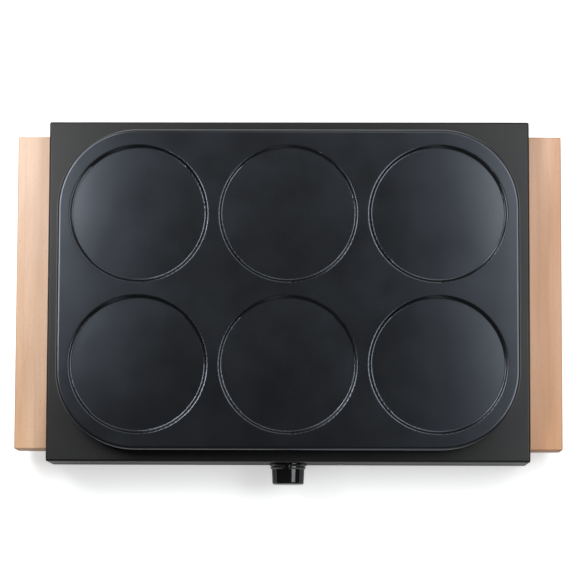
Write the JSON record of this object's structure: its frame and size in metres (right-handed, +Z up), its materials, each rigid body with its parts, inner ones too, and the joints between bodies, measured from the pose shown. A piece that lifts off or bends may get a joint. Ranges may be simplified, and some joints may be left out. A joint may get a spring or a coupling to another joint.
{
  "type": "electric crepe maker",
  "caption": "Countertop electric crepe maker: low black sheet-steel base, raised cast plate with shallow round recesses, wooden side handles and a front knob.",
  "frame": {"origin": "centre of the outline on the surface that the feet stand on", "axes": "+X to the right handle, +Y to the back wall with the inlet, +Z up; the knob is at the front, -Y"},
  "size_m": [0.471, 0.314, 0.08],
  "materials": {
    "satin_black": "satin baked enamel",
    "plate_coating": "satin non-stick coating on cast aluminium",
    "beech": "oiled beech with fine straight grain",
    "gloss_black": "gloss moulded plastic",
    "black_plastic": "fine matt moulded plastic",
    "black_rubber": "matt",
    "zinc_steel": "zinc-plated steel",
    "bright_steel": "aluminised steel sheet",
    "dark_sheath": "heat-darkened element sheath",
    "copper": "copper",
    "brass": "brass",
    "ceramic": "unglazed steatite ceramic",
    "white_ink": "white fill",
    "red_lens": "clear red moulded lens",
    "lead_brown": "silicone sleeve",
    "lead_blue": "silicone sleeve",
    "lead_black": "silicone sleeve",
    "lead_green": "silicone sleeve"
  },
  "bodies": {
    "base": {"housing_shell": "satin_black", "base_pan": "satin_black", "base_screws": "zinc_steel", "foot_front_left": "black_rubber", "foot_front_right": "black_rubber", "foot_back_left": "black_rubber", "foot_back_right": "black_rubber", "foot_screws": "zinc_steel", "foot_nuts": "zinc_steel", "handle_left": "beech", "handle_right": "beech", "handle_screws": "zinc_steel", "reflector_tray": "bright_steel", "plate_posts": "zinc_steel", "heating_element": "dark_sheath", "element_supports": "zinc_steel", "element_collars": "zinc_steel", "terminal_bushes": "ceramic", "terminal_tabs": "zinc_steel", "sensor_bulb": "copper", "sensor_clips": "zinc_steel", "capillary_tube": "copper", "thermostat_case": "ceramic", "thermostat_bracket": "bright_steel", "thermostat_blades": "zinc_steel", "thermostat_screws": "zinc_steel", "knob_bezel": "gloss_black", "pilot_lens": "red_lens", "pilot_lamp": "ceramic", "power_inlet": "black_plastic", "inlet_pins": "zinc_steel", "thermal_fuse": "ceramic", "fuse_clip": "bright_steel", "lead_live_in": "lead_brown", "lead_live_out": "lead_brown", "lead_neutral": "lead_blue", "lead_load": "lead_black", "lead_earth": "lead_green", "earth_stud": "brass"},
    "plate": {"cooking_plate": "plate_coating"},
    "knob": {"control_knob": "gloss_black", "thermostat_shaft": "zinc_steel", "knob_pointer": "white_ink"}
  },
  "joints": [
    {"name": "plate_lift", "type": "slide", "parent": "base", "child": "plate", "axis": [0, 0, 1], "range_m": [0, 0.08]},
    {"name": "knob_turn", "type": "hinge", "parent": "base", "child": "knob", "pos_m": [0, -0.139, 0.037], "axis": [0, 1, 0], "range_deg": [0, 270]}
  ]
}
